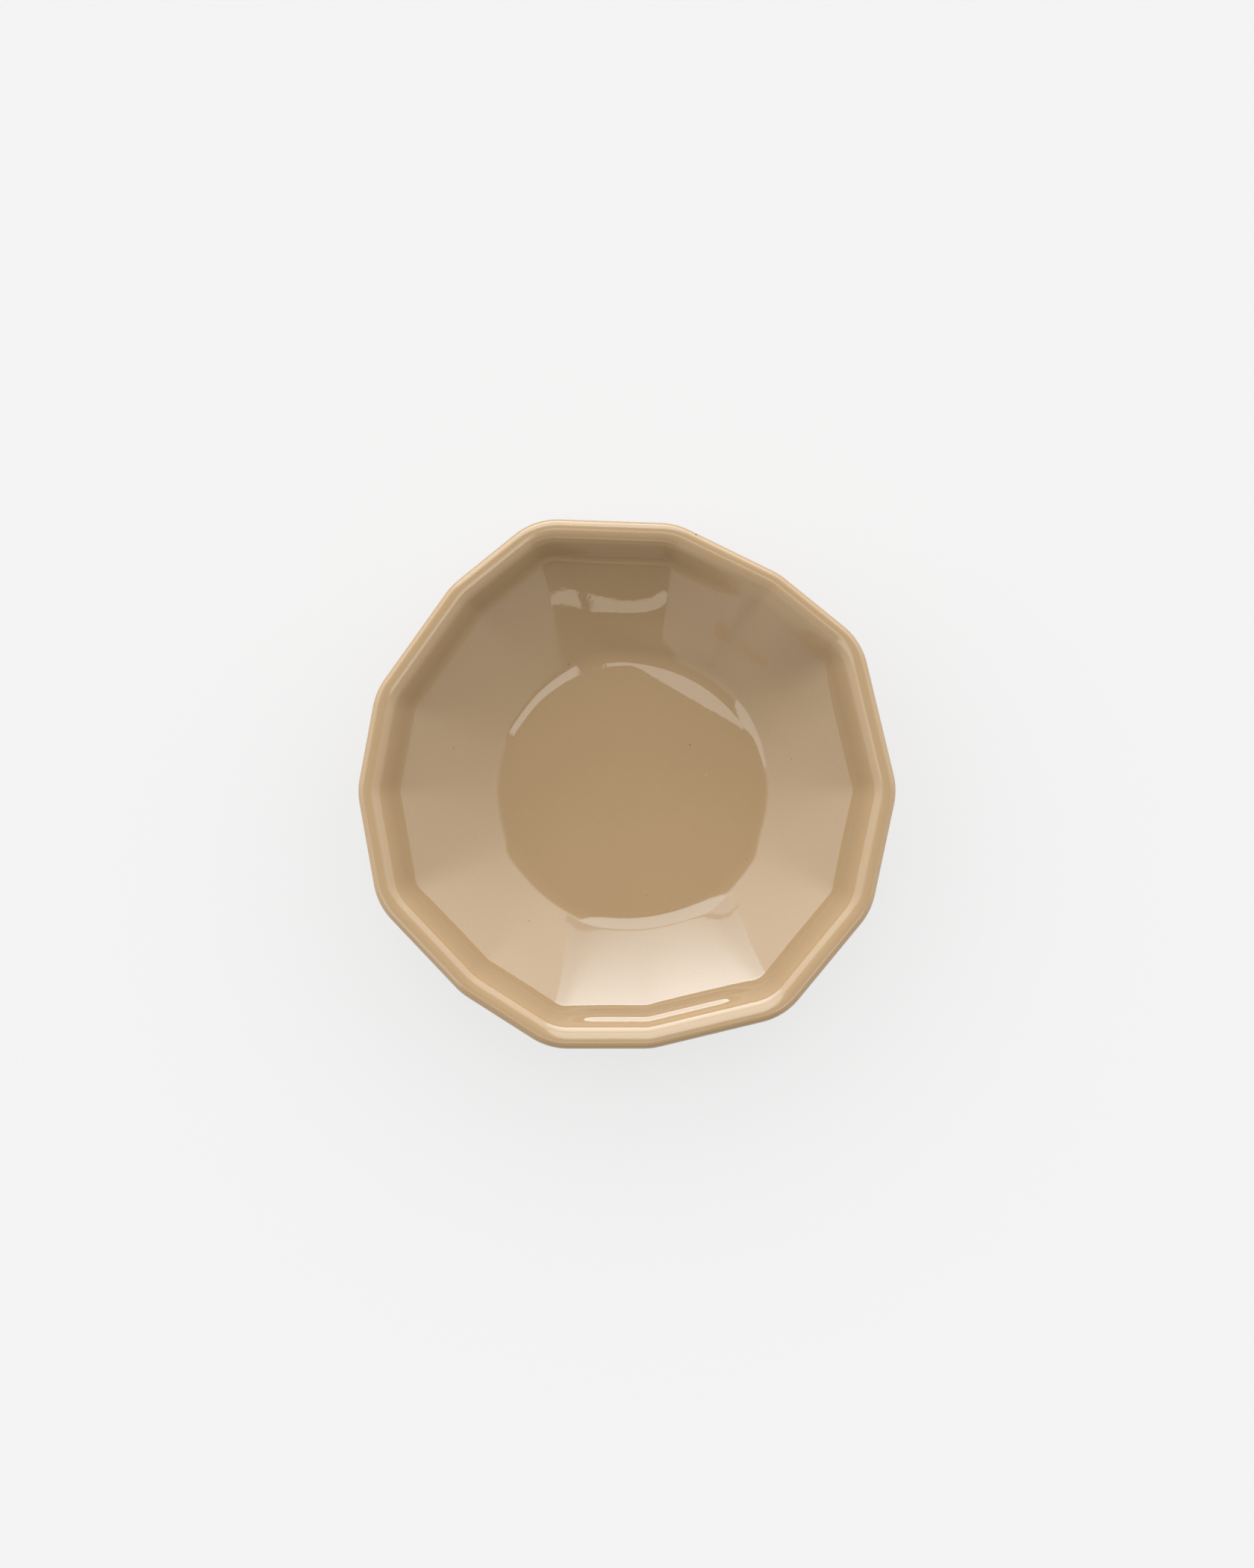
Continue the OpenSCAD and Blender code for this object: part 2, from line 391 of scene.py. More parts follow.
class Profiles:
    """The finished profile of the dish, cut into the lines of its pieces."""

    def __init__(self, shape):
        self.shape = shape
        well_z = CREST_Z - shape.bowl_depth
        coat_z = BASE_Z - shape.glaze_t
        lip_x = shape.rim_r - shape.lip_out_r
        lip_out_run = shape.lip_out_r * math.tan(math.pi / 4 + shape.outer_lean / 2)
        lip_out = Vector((lip_x + lip_out_run, CREST_Z))
        lip_in_x = lip_x - shape.lip_land - shape.lip_in_r * math.tan(shape.band_slope / 2)
        lip_in = Vector((lip_in_x, CREST_Z))
        shoulder = lip_in - Vector((shape.band_drop / math.tan(shape.band_slope), shape.band_drop))
        well = Vector((shape.well_r, well_z + shape.floor_dip))
        floor_bend = Vector((shape.well_r / 2, well_z))
        well_middle = Vector((0, well_z))
        slope = toward(well, shoulder)
        bend = shoulder.lerp(well, 0.5) - shape.wall_dip * left_of(slope)

        # Radii of the bends in the wall and the floor, which take up nearly all of them
        upper_slope, lower_slope = toward(bend, shoulder), toward(well, bend)
        shoulder_run = shape.shoulder_r * math.tan((shape.band_slope - upper_slope) / 2)
        floor_slope = toward(floor_bend, well)
        well_run = shape.well_fillet_r * math.tan((lower_slope - floor_slope) / 2)
        bend_run = BEND_SHARE * ((shoulder - bend).length - max(shoulder_run, well_run))
        bend_r = bend_run / math.tan((upper_slope - lower_slope) / 2)
        floor_r = BEND_SHARE * ((well - floor_bend).length - well_run) / math.tan(floor_slope / 2)

        # The outside, parallel to the wall up to the lip's own band
        lean = math.tan(shape.outer_lean)
        under_well = well - shape.wall_t * left_of(slope)
        base = under_well + heading(slope) * (coat_z - under_well.y) / math.sin(slope)
        run = lip_out.x - under_well.x - (CREST_Z - under_well.y) * lean
        run /= math.cos(slope) - math.sin(slope) * lean
        outer_shoulder = under_well + run * heading(slope)
        coat_edge = Vector((FOOT_R, coat_z))

        crest_at = Vector((lip_x - shape.lip_land / 2, CREST_Z))
        crest = ProfilePoint(crest_at, math.pi, thin=1.0, waver=0.0)
        self.inside = filled(
            [crest]
            + curve(lip_out, lip_in, shoulder, shape.lip_in_r, thin=1.0, waver=0.0)
            + curve(lip_in, shoulder, bend, shape.shoulder_r)
            + curve(shoulder, bend, well, bend_r)
            + curve(bend, well, floor_bend, shape.well_fillet_r)
            + curve(well, floor_bend, well_middle, floor_r)
            + [ProfilePoint(well_middle, math.pi)]
        )
        self.fill_wall(Vector((lip_x - shape.lip_land, CREST_Z - shape.lip_in_r)))
        self.outside = filled(
            [ProfilePoint(coat_edge, 0.0, waver=0.0)]
            + curve(coat_edge, base, outer_shoulder, shape.base_edge_r, thin=0.5)
            + curve(base, outer_shoulder, lip_out, shape.outer_shoulder_r)
            + curve(outer_shoulder, lip_out, lip_in, shape.lip_out_r, thin=1.0, waver=0.0)
            + [crest]
        )

    def fill_wall(self, lip_middle):
        """Notes how much higher the wall stands where it runs straight up to the lip's inner edge."""
        slope = self.shape.full_slope
        top = lip_middle + self.shape.lip_in_r * left_of(slope)
        for point in self.inside:
            run = top.x - point.at.x
            if run > 0:
                rise = top.y - run * math.tan(slope) - point.at.y
                blend = FULL_BLEND * min(1, run / FULL_BLEND_RUN)
                point.fuller = (rise + math.hypot(rise, blend)) / 2

    def coat(self, line):
        """A finished line and the clay line under it, as one loop."""
        hidden = [point.under(self.shape.glaze_t) for point in reversed(line)]
        return line + hidden + line[:1]

    def foot(self):
        """The foot ring, down its inner side and up its outer one."""
        shape = self.shape
        inner = FOOT_R - shape.foot_w
        lean = BASE_Z * math.tan(shape.foot_draft)
        top_in, top_out = Vector((inner, BASE_Z)), Vector((FOOT_R, BASE_Z))
        low_in, low_out = Vector((inner + lean, 0)), Vector((FOOT_R - lean, 0))
        ring = (
            [ProfilePoint(top_in, 0.0, waver=0.0)]
            + curve(top_in, low_in, low_out, shape.foot_edge_r, waver=0.0)
            + curve(low_in, low_out, top_out, shape.foot_edge_r, waver=0.0)
            + [ProfilePoint(top_out, 0.0, waver=0.0)]
        )
        return filled(ring + ring[:1])

    def underside(self):
        """The disc of glaze inside the foot ring."""
        shape = self.shape
        inner = FOOT_R - shape.foot_w
        coat_z = BASE_Z - shape.glaze_t
        coat_r = inner + shape.glaze_t * math.tan(shape.foot_draft)
        return filled([
            ProfilePoint(Vector((0, BASE_Z)), math.pi, waver=0.0),
            ProfilePoint(Vector((0, coat_z)), 0.0),
            ProfilePoint(Vector((coat_r, coat_z)), 0.0),
            ProfilePoint(Vector((inner, BASE_Z)), math.pi, waver=0.0),
            ProfilePoint(Vector((0, BASE_Z)), math.pi, waver=0.0),
        ])


def line_mesh(name, points, closed):
    """Points joined by edges, as the start of a swept piece."""
    mesh = bpy.data.meshes.new(name)
    edges = [(i, i + 1) for i in range(len(points) - 1)]
    if closed:
        edges.append((len(points) - 1, 0))
    mesh.from_pydata([tuple(point) for point in points], edges, [])
    return mesh


def profile_object(name, points):
    """A profile on the XZ plane, with its glaze and its fullness kept on its points."""
    mesh = line_mesh(name, [Vector((p.at.x, 0, p.at.y)) for p in points], False)
    for attribute_name in ("thin", "waver", "fuller"):
        attribute = mesh.attributes.new(attribute_name, "FLOAT", "POINT")
        attribute.data.foreach_set("value", [getattr(p, attribute_name) for p in points])
    return bpy.data.objects.new(name, mesh)


# The sweep
SWEEP_INPUTS = (
    ("Profile", "NodeSocketObject"),
    ("Columns", "NodeSocketInt"),
    ("Rim Radius", "NodeSocketFloat"),
    ("Rim Corner Radius", "NodeSocketFloat"),
    ("Crease Radius", "NodeSocketFloat"),
    ("Crease Blurs", "NodeSocketInt"),
    ("Round Radius", "NodeSocketFloat"),
    ("Well Middle", "NodeSocketVector"),
    ("Waver Height", "NodeSocketFloat"),
    ("Waver Scale", "NodeSocketFloat"),
    ("Pool Height", "NodeSocketFloat"),
    ("Ridge Height", "NodeSocketFloat"),
    ("Material", "NodeSocketMaterial"),
)
CORNER_STEPS = 24
WAVER_SCALE = 110.0
MERGE_GAP = 1e-6
SHARP_TURN = math.radians(40)

# Share of the wall, from the creases down, over which they soften, and the passes that spread a
# crease by one point, as each pass gives a third to either neighbour
SOFTEN_SHARE = 0.65
BLUR_PASSES = 1.5

# The glaze pooled in the well: the way it lies, how far out it starts, and where it ends up the wall
POOL_AZIMUTH = 60
POOL_EDGE = (19 * MM, 25 * MM)
POOL_FADE = (32 * MM, 25.5 * MM)

# The ridge in the band: the way it lies, its ends to either side, and its outer and inner slope
RIDGE_AZIMUTH = 276
RIDGE_ENDS = (math.radians(25), math.radians(16))
RIDGE_OUTSIDE = (42.0 * MM, 40.85 * MM)
RIDGE_INSIDE = (39.3 * MM, 40.8 * MM)

# The fuller wall: the azimuths over which it grows, from the right and from the back
FULL_RIGHT = (math.radians(21), math.radians(50))
FULL_BACK = (math.radians(80), math.radians(60))


def faceted_sweep_tree():
    """Sweeps a profile round the rim: parallel to it down to the creases, then blending to a circle."""
    tree = bpy.data.node_groups.new("Faceted Sweep", "GeometryNodeTree")
    tree.interface.new_socket("Geometry", in_out="INPUT", socket_type="NodeSocketGeometry")
    for name, kind in SWEEP_INPUTS:
        tree.interface.new_socket(name, in_out="INPUT", socket_type=kind)
    tree.interface.new_socket("Geometry", in_out="OUTPUT", socket_type="NodeSocketGeometry")
    sheet = NodeSheet(tree)
    given = sheet.node("NodeGroupInput")

    def sampled(geometry, place, value, kind):
        settings = {"data_type": kind, "domain": "POINT"}
        sockets = {"Geometry": geometry, "Value": value, "Index": place}
        return sheet.node("GeometryNodeSampleIndex", settings, sockets)["Value"]

    def kept(name):
        settings = {"data_type": "FLOAT"}
        return sheet.node("GeometryNodeInputNamedAttribute", settings, {"Name": name})["Attribute"]

    def sum_of(first, second):
        return sheet.vector("ADD", first, second)

    def less(first, second):
        return sheet.vector("SUBTRACT", first, second)

    # The rim's outline, rounded, with a point for each column
    rim = sheet.node("GeometryNodeMeshToCurve", {}, {"Mesh": given["Geometry"]})["Curve"]
    rounding = {"Curve": rim, "Count": CORNER_STEPS, "Radius": given["Rim Corner Radius"]}
    rim = sheet.node("GeometryNodeFilletCurve", {"mode": "POLY"}, rounding)["Curve"]
    rim = sheet.node("GeometryNodeResampleCurve", {}, {"Curve": rim, "Count": given["Columns"]})["Curve"]

    # A tube with one ring for each point of the profile
    profile = sheet.node("GeometryNodeObjectInfo", {}, {"Object": given["Profile"]})["Geometry"]
    rings = sheet.node("GeometryNodeAttributeDomainSize", {}, {"Geometry": profile})["Point Count"]
    sockets = {"Vertices": given["Columns"], "Side Segments": rings - 1}
    tube = sheet.node("GeometryNodeMeshCylinder", {"fill_type": "NONE"}, sockets)["Mesh"]
    index = sheet.node("GeometryNodeInputIndex")["Index"]
    row = (index / given["Columns"]).math("FLOOR")
    column = index % given["Columns"]

    # Where each point lies on the profile and on the rim
    position = sheet.node("GeometryNodeInputPosition")["Position"]
    reach, _, height = sheet.separated(sampled(profile, row, position, "FLOAT_VECTOR"))
    along_x, along_y, _ = sheet.separated(sheet.node("GeometryNodeInputTangent")["Tangent"])
    outward = sheet.combined(along_y, 0.0 - along_x, 0.0)
    middle = given["Well Middle"]
    fan = sheet.vector("NORMALIZE", less(position, middle))

    # How the creases stand off a circle, as they are and spread along the wall
    crease_inset = given["Rim Corner Radius"] - given["Crease Radius"]
    crease_reach = given["Rim Radius"] - crease_inset
    crease = less(position, sheet.stretched(outward, crease_inset))
    offset = less(crease, sum_of(middle, sheet.stretched(fan, crease_reach)))
    spread = {"Value": offset, "Iterations": given["Crease Blurs"], "Weight": 1.0}
    soft = sheet.node("GeometryNodeBlurAttribute", {"data_type": "FLOAT_VECTOR"}, spread)["Value"]
    on_rim, rim_outward, rim_fan, sharp_offset, soft_offset = [
        sampled(rim, column, value, "FLOAT_VECTOR") for value in (position, outward, fan, offset, soft)
    ]

    # Beside the rim as far as the creases, then about the well, ever rounder
    inset = given["Rim Radius"] - reach
    beside_rim = less(on_rim, sheet.stretched(rim_outward, inset))
    faceted = ((reach - given["Round Radius"]) / (crease_reach - given["Round Radius"])).clamped()
    sharpness = faceted.ramped(1.0 - SOFTEN_SHARE, 1.0)
    stand_off = sheet.stretched(sheet.mixed(sharpness, soft_offset, sharp_offset, "Vector"), faceted)
    about_well = sum_of(sum_of(middle, sheet.stretched(rim_fan, reach)), stand_off)
    is_low = inset.math("GREATER_THAN", crease_inset)
    flat_x, flat_y, _ = sheet.separated(sheet.mixed(is_low, beside_rim, about_well, "Vector"))

    # Glaze pooled behind a straight line across the well and run into a ridge, and the fuller wall
    x, y, _ = sheet.separated(less(sheet.combined(flat_x, flat_y, 0.0), middle))
    pool = out_toward(x, y, POOL_AZIMUTH).ramped(*POOL_EDGE) * reach.ramped(*POOL_FADE)
    front = aside_of(x, y, RIDGE_AZIMUTH).math("ABSOLUTE").ramped(*RIDGE_ENDS)
    ridge = reach.sloped(*RIDGE_OUTSIDE) * reach.ramped(*RIDGE_INSIDE) * front
    azimuth = y.math("ARCTAN2", x)
    full = azimuth.ramped(*FULL_RIGHT) * azimuth.sloped(*FULL_BACK)
    full = full * sampled(profile, row, kept("fuller"), "FLOAT")
    lifted = height + pool * given["Pool Height"] + ridge * given["Ridge Height"] + full
    place = sheet.combined(flat_x, flat_y, lifted)
    swept = sheet.node("GeometryNodeSetPosition", {}, {"Geometry": tube, "Position": place})["Geometry"]

    # The glaze's values on the finished points, and the seams and poles closed
    for name in ("thin", "waver"):
        settings = {"data_type": "FLOAT", "domain": "POINT"}
        sockets = {"Geometry": swept, "Name": name, "Value": sampled(profile, row, kept(name), "FLOAT")}
        swept = sheet.node("GeometryNodeStoreNamedAttribute", settings, sockets)["Geometry"]
    sockets = {"Geometry": swept, "Distance": MERGE_GAP}
    closed = sheet.node("GeometryNodeMergeByDistance", {}, sockets)["Geometry"]

    # A slow unevenness that fades out at the coat's edges
    unevenness = sheet.noise(position, given["Waver Scale"], detail=1.0) - 0.5
    lift = unevenness * given["Waver Height"] * kept("waver")
    normal = sheet.node("GeometryNodeInputNormal")["Normal"]
    sockets = {"Geometry": closed, "Offset": sheet.stretched(normal, lift)}
    uneven = sheet.node("GeometryNodeSetPosition", {}, sockets)["Geometry"]
    smooth = sheet.node("GeometryNodeSetShadeSmooth", {}, {"Geometry": uneven})["Geometry"]
    real = sheet.node("GeometryNodeRealizeInstances", {}, {"Geometry": smooth})["Geometry"]
    sockets = {"Geometry": real, "Material": given["Material"]}
    finished = sheet.node("GeometryNodeSetMaterial", {}, sockets)["Geometry"]
    sheet.node("NodeGroupOutput", {}, {"Geometry": finished})
    return tree


def crease_blurs(shape, outline):
    """How many passes of the blur spread a crease as far as its setting says."""
    corners = [vertex.co for vertex in outline.vertices]
    around = sum((second - first).length for first, second in neighbours(corners))
    return round(BLUR_PASSES * (shape.crease_spread * shape.columns / around) ** 2)


def swept_piece(context, name, profile, material, node, inside=False):
    """Makes a piece by the sweep, as a plain mesh that stands for a CAD node."""
    shape = context.scene.dish_shape
    outline = line_mesh(name, [corner.to_3d() for corner in rim_corners(shape)], True)
    piece = bpy.data.objects.new(name, outline)
    context.scene.collection.objects.link(piece)
    guide = profile_object(name + "_profile", profile)
    tree = bpy.data.node_groups.get("Faceted Sweep") or faceted_sweep_tree()
    modifier = piece.modifiers.new("Sweep", "NODES")
    modifier.node_group = tree
    values = {
        "Profile": guide,
        "Columns": shape.columns,
        "Rim Radius": shape.rim_r,
        "Rim Corner Radius": shape.rim_corner_r,
        "Crease Radius": shape.crease_r,
        "Crease Blurs": crease_blurs(shape, outline),
        "Round Radius": FOOT_R,
        "Well Middle": WELL_AXIS.to_3d(),
        "Waver Height": shape.waver,
        "Waver Scale": WAVER_SCALE,
        "Pool Height": shape.pool_h if inside else 0.0,
        "Ridge Height": shape.ridge_h if inside else 0.0,
        "Material": material,
    }
    for item in tree.interface.items_tree:
        if item.in_out == "INPUT" and item.name in values:
            modifier[item.identifier] = values[item.name]
    graph = context.evaluated_depsgraph_get()
    mesh = bpy.data.meshes.new_from_object(
        piece.evaluated_get(graph), preserve_all_data_layers=True, depsgraph=graph
    )
    piece.modifiers.remove(modifier)
    piece.data = mesh
    mesh.name = name
    mesh.materials.clear()
    mesh.materials.append(material)
    mesh.polygons.foreach_set("material_index", [0] * len(mesh.polygons))
    mesh.set_sharp_from_angle(angle=SHARP_TURN)
    bpy.data.objects.remove(guide)
    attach(piece, BODY)
    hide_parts(node)
    return piece


# Finishes: patterns are noise with so many waves to the metre
DRIFT_SCALE = 38.0
MOTTLE_SCALE = 2600.0
PEEL_SCALE = 900.0
PEEL_HEIGHT = 0.004 * MM
TONE_SPREAD = 0.5
LEAST_PALENESS = 0.1
THIN_PALENESS = 0.7
THIN_ROUGHNESS = 0.1
MOTTLE_ROUGHNESS = 0.02

# Specks in the glaze, in millimetres from the middle of the rim: right, back and radius
FLECKS = (
    (11.3, 7.0, 0.2), (12.2, 44.1, 0.26), (-10.5, 21.5, 0.16), (29.5, 4.5, 0.14), (-17.5, -24.5, 0.14),
    (21.5, -13.5, 0.12), (-31.0, 6.5, 0.14), (3.5, -20.0, 0.12),
)
PINHOLES = (
    (14.2, 1.7, 0.24), (-26.5, -8.9, 0.26), (-6.0, 12.5, 0.14), (8.5, -13.0, 0.12), (24.0, 17.5, 0.16),
    (-20.5, 18.0, 0.14), (31.5, -9.0, 0.14),
)

# A speck's solid core as a share of its radius, its ragged edge, and the slopes that count as upper side
SPECK_CORE = 0.6
SPECK_RAGGED_SCALE = 5200.0
SPECK_RAGGED = 0.16 * MM
UPPER_SIDE = (0.1, 0.3)
FLECK_STRENGTH = 0.75
PINHOLE_PALENESS = 0.6
PINHOLE_ROUGHNESS = 0.2
PINHOLE_PEELS = 4.0

# Bare clay
GRAIN_SCALE = 3200.0
GRAIN_HEIGHT = 0.05 * MM
GRAIN_SHADE = 0.5
GRAIN_ROUGHNESS = 0.2
CLOUD_SCALE = 160.0
CLOUD_SHADE = 0.7
SHADE_START = 0.1
SHADED_CLAY = 0.78
GRIT_SCALE = 900.0
GRIT_EDGE = (0.12, 0.24)
GRIT_STRENGTH = 0.7
GRIT_GRAINS = 0.5


def new_finish(name):
    material = bpy.data.materials.get(name) or bpy.data.materials.new(name)
    material.use_nodes = True
    return material, NodeSheet(material.node_tree)


def glaze_finish(finish):
    """Glossy tan glaze: slow drifts of colour, thin paler edges, iron flecks and pinholes."""
    material, sheet = new_finish("tan_glaze")
    place = sheet.node("ShaderNodeTexCoord")["Object"]
    thin = sheet.node("ShaderNodeAttribute", {"attribute_name": "thin"})["Fac"]
    right, back, _ = sheet.separated(place)
    _, _, level = sheet.separated(sheet.node("ShaderNodeNewGeometry")["Normal"])
    facing_up = level.ramped(*UPPER_SIDE)
    ragged = (sheet.noise(place, SPECK_RAGGED_SCALE, detail=1.0) - 0.5) * SPECK_RAGGED

    def specks(places):
        """Small ragged specks on the upper side."""
        found = 0.0
        for x, y, radius in places:
            aside, beyond = right - x * MM, back - y * MM
            apart = (aside * aside + beyond * beyond).math("SQRT")
            speck = 1.0 - (apart + ragged).ramped(SPECK_CORE * radius * MM, radius * MM)
            found = speck.most(found)
        return found * facing_up

    flecks = specks(FLECKS)
    pinholes = specks(PINHOLES)
    drift = sheet.noise(place, DRIFT_SCALE, detail=2.0) - 0.5
    mottle = sheet.noise(place, MOTTLE_SCALE, detail=2.0) - 0.5
    deep = (*finish.glaze, 1.0)
    pale = (*finish.glaze_thin, 1.0)
    paleness = thin * THIN_PALENESS + LEAST_PALENESS + drift * TONE_SPREAD + mottle * TONE_SPREAD
    tint = sheet.mixed(paleness.clamped(), deep, pale)
    tint = sheet.mixed(flecks * FLECK_STRENGTH, tint, (*finish.glaze_fleck, 1.0))
    tint = sheet.mixed(pinholes * PINHOLE_PALENESS, tint, pale)
    roughness = finish.glaze_roughness + thin * THIN_ROUGHNESS + mottle * MOTTLE_ROUGHNESS
    relief = sheet.noise(place, PEEL_SCALE, detail=2.0) - pinholes * PINHOLE_PEELS
    sockets = {"Height": relief, "Distance": PEEL_HEIGHT, "Strength": 1.0}
    shader = sheet.node("ShaderNodeBsdfPrincipled", {}, {
        "Base Color": tint,
        "Roughness": roughness + pinholes * PINHOLE_ROUGHNESS,
        "IOR": finish.glaze_ior,
        "Normal": sheet.node("ShaderNodeBump", {}, sockets)["Normal"],
    })["BSDF"]
    sheet.node("ShaderNodeOutputMaterial", {}, {"Surface": shader})
    return material


def clay_finish(finish):
    """Bare fired clay: fine grain, darker grit and a dry, matt surface."""
    material, sheet = new_finish("bare_clay")
    place = sheet.node("ShaderNodeTexCoord")["Object"]
    grain = sheet.noise(place, GRAIN_SCALE, detail=3.0)
    cloud = sheet.noise(place, CLOUD_SCALE, detail=2.0)
    sockets = {"Vector": place, "Scale": GRIT_SCALE}
    distance = sheet.node("ShaderNodeTexVoronoi", {"feature": "F1"}, sockets)["Distance"]
    grit = 1.0 - distance.ramped(*GRIT_EDGE)
    clay = (*finish.clay, 1.0)
    shaded = (*[SHADED_CLAY * part for part in finish.clay], 1.0)
    shade = (cloud * CLOUD_SHADE + grain * GRAIN_SHADE - SHADE_START).clamped()
    tint = sheet.mixed(shade, clay, shaded)
    tint = sheet.mixed(grit * GRIT_STRENGTH, tint, (*finish.clay_grit, 1.0))
    sockets = {"Height": grain + grit * GRIT_GRAINS, "Distance": GRAIN_HEIGHT, "Strength": 1.0}
    shader = sheet.node("ShaderNodeBsdfPrincipled", {}, {
        "Base Color": tint,
        "Roughness": finish.clay_roughness + (grain - 0.5) * GRAIN_ROUGHNESS,
        "Normal": sheet.node("ShaderNodeBump", {}, sockets)["Normal"],
    })["BSDF"]
    sheet.node("ShaderNodeOutputMaterial", {}, {"Surface": shader})
    return material


class DISH_OT_clay(bpy.types.Operator):
    """Gives the pressed clay body its bare clay and adds the turned foot ring"""

    bl_idname = "dish.clay"
    bl_label = "Clay body and foot"

    def execute(self, context):
        material = clay_finish(context.scene.dish_finish)
        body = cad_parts["clay_body"]
        body.data.materials.clear()
        body.data.materials.append(material)
        profiles = Profiles(context.scene.dish_shape)
        swept_piece(context, "bare_foot", profiles.foot(), material, "foot_ring")
        return {"FINISHED"}


class DISH_OT_glaze(bpy.types.Operator):
    """Lays the glaze inside, outside and under the base"""

    bl_idname = "dish.glaze"
    bl_label = "Glaze coats"

    def execute(self, context):
        material = glaze_finish(context.scene.dish_finish)
        profiles = Profiles(context.scene.dish_shape)
        inside = profiles.coat(profiles.inside)
        outside = profiles.coat(profiles.outside)
        swept_piece(context, "inside_coat", inside, material, "inside_glaze", inside=True)
        swept_piece(context, "outside_coat", outside, material, "outside_glaze")
        swept_piece(context, "underside_coat", profiles.underside(), material, "underside_glaze")
        return {"FINISHED"}


# Stage: the floor, the camera and the picture's size in pixels
FLOOR_HALF = 3.0
FLOOR_GLOW = 0.8
SENSOR = 36.0
PICTURE = (1680, 2100)

# Tints of light
PLAIN = (1.0, 1.0, 1.0)
COOL = (0.9, 1.0, 1.08)
WARM = (1.12, 1.02, 0.86)

# The soft light grows toward the back and falls off toward the front
SOFT_AZIMUTH = 97
SOFT_BACK = 0.55
SOFT_FRONT = 1.3

# The studio's walls, brighter toward the back, end at a height that is given as a sine and is
# greater at the sides; the flag is a dark upright in front of them, in degrees, with softer edges
# higher up
WALL_AZIMUTH = 98
WALL_TOP = (0.62, 0.78)
TALL_SIDES = (0.86, 0.96)
TALL_SIDES_RISE = 0.15
LEAST_LEVEL = 0.0001
FLAG_AZIMUTH = 275.5
FLAG_HALF_WIDTH = 27.5
FLAG_EDGE = 0.7
FLAG_SPREAD = (26, 38)
FLAG_SOFTENING = 2

# The panel over the back: its middle, the lean of its sides, and its ends as sines of their heights
PANEL_AZIMUTH = 100
PANEL_LEAN = 50
PANEL_TAPER = 0.085
PANEL_EDGE = (0.0, 0.03)
PANEL_FOOT = (0.53, 0.545)
PANEL_TOP = (0.9915, 0.9935)

# Cards as the dish sees them, in degrees: azimuth and elevation of the middle, half width, half
# height, rise of the middle line per degree and per square degree aside, loss of half height per
# degree aside, lean of the ends per degree up and width of the soft edge; then the brightness of the
# lower and the upper edge, where 1 is white, the share of it lost at the ends, and the tint
Card = namedtuple(
    "Card",
    "azimuth elevation half_width half_height tilt bow taper slant edge low high loss tint",
)
CARDS = (
    Card(98.75, 16.5, 36, 17.5, 0, 0.003, 0, 0, 1.5, 8.0, 3.1, 0.3, COOL),
    Card(98, 35.6, 38, 1.6, -0.08, -0.002, 0.032, 0, 0.6, 1.5, 1.5, 0, COOL),
    Card(261.1, 24.5, 10.8, 2.2, 0.28, 0, -0.09, 0.44, 0.5, 1.8, 1.8, 0, WARM),
    Card(288.4, 30.4, 15, 1.6, 0, -0.011, 0.05, 0.8, 0.5, 1.7, 1.7, 0, WARM),
    Card(209, 58, 18, 14, 0.1, 0, -0.5, 0, 1.5, 2.3, 2.3, 0, PLAIN),
    Card(315, 65.5, 18, 10, -0.3, 0, 0.1, 0, 2, 2.5, 2.5, 0, PLAIN),
    Card(251, 80.2, 30, 4.5, 0, 0, 0, 0, 0.8, 2.1, 2.1, 0, PLAIN),
)
CARD_CORE = 0.2


def floor_finish(stage):
    """Pale floor that lights the dish as plain matt paint and shows as the pale backdrop."""
    material, sheet = new_finish("pale_floor")
    pale = (*stage.backdrop, 1.0)
    matt = sheet.node("ShaderNodeBsdfDiffuse", {}, {"Color": pale})["BSDF"]
    glow = sheet.node("ShaderNodeEmission", {}, {"Color": pale, "Strength": 1.0})["Emission"]
    path = sheet.node("ShaderNodeLightPath")
    seen = path["Is Camera Ray"].most(path["Is Glossy Ray"]).most(path["Is Transmission Ray"])
    sockets = {"Fac": seen * FLOOR_GLOW, 1: matt, 2: glow}
    mixed = sheet.node("ShaderNodeMixShader", {}, sockets)["Shader"]
    sheet.node("ShaderNodeOutputMaterial", {}, {"Surface": mixed})
    return material


def with_card(sheet, mirrored, card, right, back, rise):
    """The mirrored studio with one more card standing in front of it."""
    aside = aside_of(right, back, card.azimuth).math("DEGREES")
    above = rise - (aside * card.tilt + aside * aside * card.bow + card.elevation)
    half_height = card.half_height - aside * card.taper
    share = (above / half_height * 0.5 + 0.5).clamped()
    light = sheet.mixed(share, card.low, card.high, "Float")
    toward_end = aside.math("ABSOLUTE").ramped(card.half_width * CARD_CORE, card.half_width)
    light = light * (1.0 - toward_end * card.loss)
    edge = (-card.edge / 2, card.edge / 2)
    along = (aside - above * card.slant).math("ABSOLUTE")
    mask = (card.half_width - along).ramped(*edge)
    mask = mask * (half_height - above.math("ABSOLUTE")).ramped(*edge)
    return sheet.mixed(mask, mirrored, sheet.stretched(card.tint, light), "Vector")


